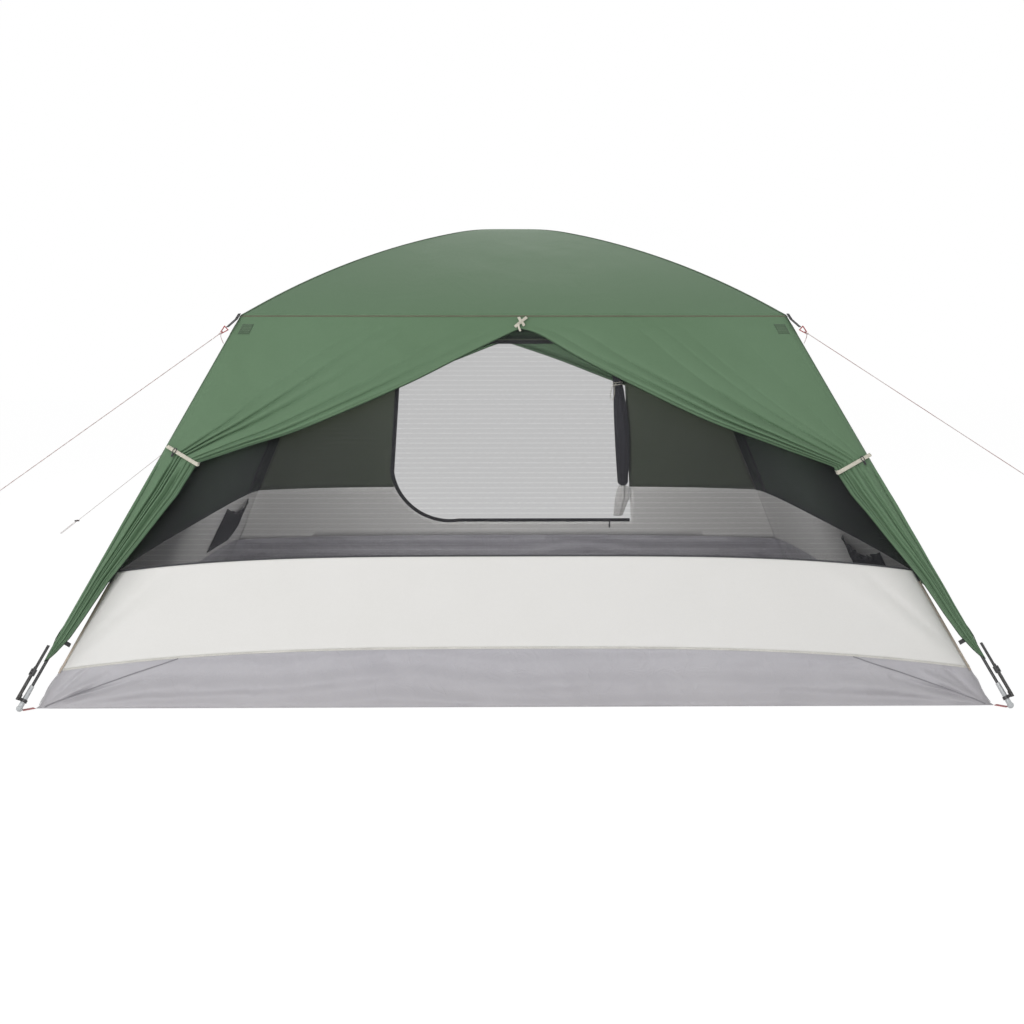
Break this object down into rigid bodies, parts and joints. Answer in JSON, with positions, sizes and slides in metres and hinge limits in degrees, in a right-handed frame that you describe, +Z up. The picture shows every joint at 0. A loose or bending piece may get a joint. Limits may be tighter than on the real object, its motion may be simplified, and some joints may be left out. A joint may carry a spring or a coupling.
{
  "type": "dome tent",
  "caption": "Dome tent with two crossing bent poles, a green fly with tied-back doors, and a mesh inner tent with a cream band, a grey floor and a rolled-up rear door.",
  "frame": {"origin": "on the ground under the crown, in the middle of the four pole feet", "axes": "+Z up, the front with the wide mesh wall faces -Y, +X to the right as seen from the front"},
  "size_m": [6.5236, 5.9098, 1.914],
  "materials": {
    "fly_cloth": "coated polyester taffeta, green",
    "rear_cloth": "polyester taffeta, dark green",
    "cream_cloth": "polyester taffeta, cream",
    "floor_cloth": "coated polyethylene, grey",
    "mesh": "fine insect mesh, black",
    "black_webbing": "woven webbing, black",
    "red_webbing": "woven webbing, red",
    "cream_webbing": "woven tape, cream",
    "zip": "coil zip, black",
    "pole": "glass fibre tube, dark grey",
    "steel": "plated steel",
    "black_plastic": "moulded, black",
    "grey_plastic": "moulded, light grey",
    "guyline": "braided cord, pale",
    "elastic": "covered elastic, black"
  },
  "bodies": {
    "tent": {"fly_roof_front": "fly_cloth", "fly_roof_right": "fly_cloth", "fly_roof_rear": "fly_cloth", "fly_roof_left": "fly_cloth", "fly_wall_left": "fly_cloth", "fly_wall_right": "fly_cloth", "fly_door_front_left": "fly_cloth", "fly_door_front_right": "fly_cloth", "fly_door_rear_left": "fly_cloth", "fly_door_rear_right": "fly_cloth", "door_tieback_straps": "cream_webbing", "door_tieback_loops": "elastic", "door_top_ties": "cream_webbing", "inner_floor": "floor_cloth", "inner_skirts": "floor_cloth", "inner_roof_mesh": "mesh", "inner_rear_panel": "rear_cloth", "rear_door_zip": "zip", "rear_door_roll": "mesh", "rear_door_roll_hem": "cream_cloth", "rear_door_roll_tie": "cream_webbing", "mesh_pockets": "mesh", "lantern_loop": "black_webbing", "pole_under": "pole", "pole_over": "pole", "pole_under_crown": "pole", "pole_over_crown": "pole", "pole_elbows": "pole", "pole_ferrules": "steel", "shock_cords": "elastic", "pole_feet": "grey_plastic", "pole_clips": "black_plastic", "corner_straps": "black_webbing", "corner_hooks": "black_plastic", "corner_webbing": "red_webbing", "guy_webbing": "black_webbing", "guy_loops": "red_webbing", "guyline_knots": "guyline", "inner_band_front": "cream_cloth", "inner_band_right": "cream_cloth", "inner_band_rear": "cream_cloth", "inner_band_left": "cream_cloth", "inner_mesh_front": "mesh", "inner_mesh_right": "mesh", "inner_mesh_left": "mesh", "guyline_front_left": "guyline", "guyline_front_right": "guyline", "guyline_rear_left": "guyline"},
    "ladder_buckle_front_left": {"ladder_buckle_front_left": "black_plastic"},
    "ladder_buckle_front_right": {"ladder_buckle_front_right": "black_plastic"},
    "ladder_buckle_rear_left": {"ladder_buckle_rear_left": "black_plastic"},
    "ladder_buckle_rear_right": {"ladder_buckle_rear_right": "black_plastic"},
    "tensioner_front_left": {"tensioner_front_left": "black_plastic"},
    "tensioner_front_right": {"tensioner_front_right": "black_plastic"},
    "tensioner_rear_left": {"tensioner_rear_left": "black_plastic"},
    "zip_pull_head": {"zip_pull_head": "black_plastic"},
    "zip_pull_sill": {"zip_pull_sill": "black_plastic"},
    "zip_slider_head": {"zip_slider_head": "black_plastic"},
    "zip_slider_sill": {"zip_slider_sill": "black_plastic"}
  },
  "joints": [
    {"name": "zip_slider_sill_slide", "type": "slide", "parent": "tent", "child": "zip_slider_sill", "axis": [-1, 0, 0], "range_m": [0, 0.87]},
    {"name": "zip_pull_sill_swing", "type": "hinge", "parent": "zip_slider_sill", "child": "zip_pull_sill", "pos_m": [0.62, 1.5972, 0.33694], "axis": [1, 0, 0], "range_deg": [-150, 20]},
    {"name": "zip_slider_head_slide", "type": "slide", "parent": "tent", "child": "zip_slider_head", "axis": [-1, 0, 0], "range_m": [0, 0.85]},
    {"name": "zip_pull_head_swing", "type": "hinge", "parent": "zip_slider_head", "child": "zip_pull_head", "pos_m": [0.6, 1.07164, 1.39867], "axis": [1, 0, 0], "range_deg": [-135, 20]},
    {"name": "ladder_buckle_front_left_slide", "type": "slide", "parent": "tent", "child": "ladder_buckle_front_left", "axis": [0.4055, 0.4055, 0.8192], "range_m": [-0.055, 0.018]},
    {"name": "ladder_buckle_front_right_slide", "type": "slide", "parent": "tent", "child": "ladder_buckle_front_right", "axis": [-0.4055, 0.4055, 0.8192], "range_m": [-0.055, 0.018]},
    {"name": "ladder_buckle_rear_right_slide", "type": "slide", "parent": "tent", "child": "ladder_buckle_rear_right", "axis": [-0.4055, -0.4055, 0.8192], "range_m": [-0.055, 0.018]},
    {"name": "ladder_buckle_rear_left_slide", "type": "slide", "parent": "tent", "child": "ladder_buckle_rear_left", "axis": [0.4055, -0.4055, 0.8192], "range_m": [-0.055, 0.018]},
    {"name": "tensioner_front_left_slide", "type": "slide", "parent": "tent", "child": "tensioner_front_left", "axis": [-0.723, -0.3894, -0.5706], "range_m": [0, 0.26]},
    {"name": "tensioner_front_right_slide", "type": "slide", "parent": "tent", "child": "tensioner_front_right", "axis": [0.7536, -0.3705, -0.543], "range_m": [0, 0.26]},
    {"name": "tensioner_rear_left_slide", "type": "slide", "parent": "tent", "child": "tensioner_rear_left", "axis": [-0.5986, 0.7097, -0.3714], "range_m": [0, 0.26]}
  ]
}
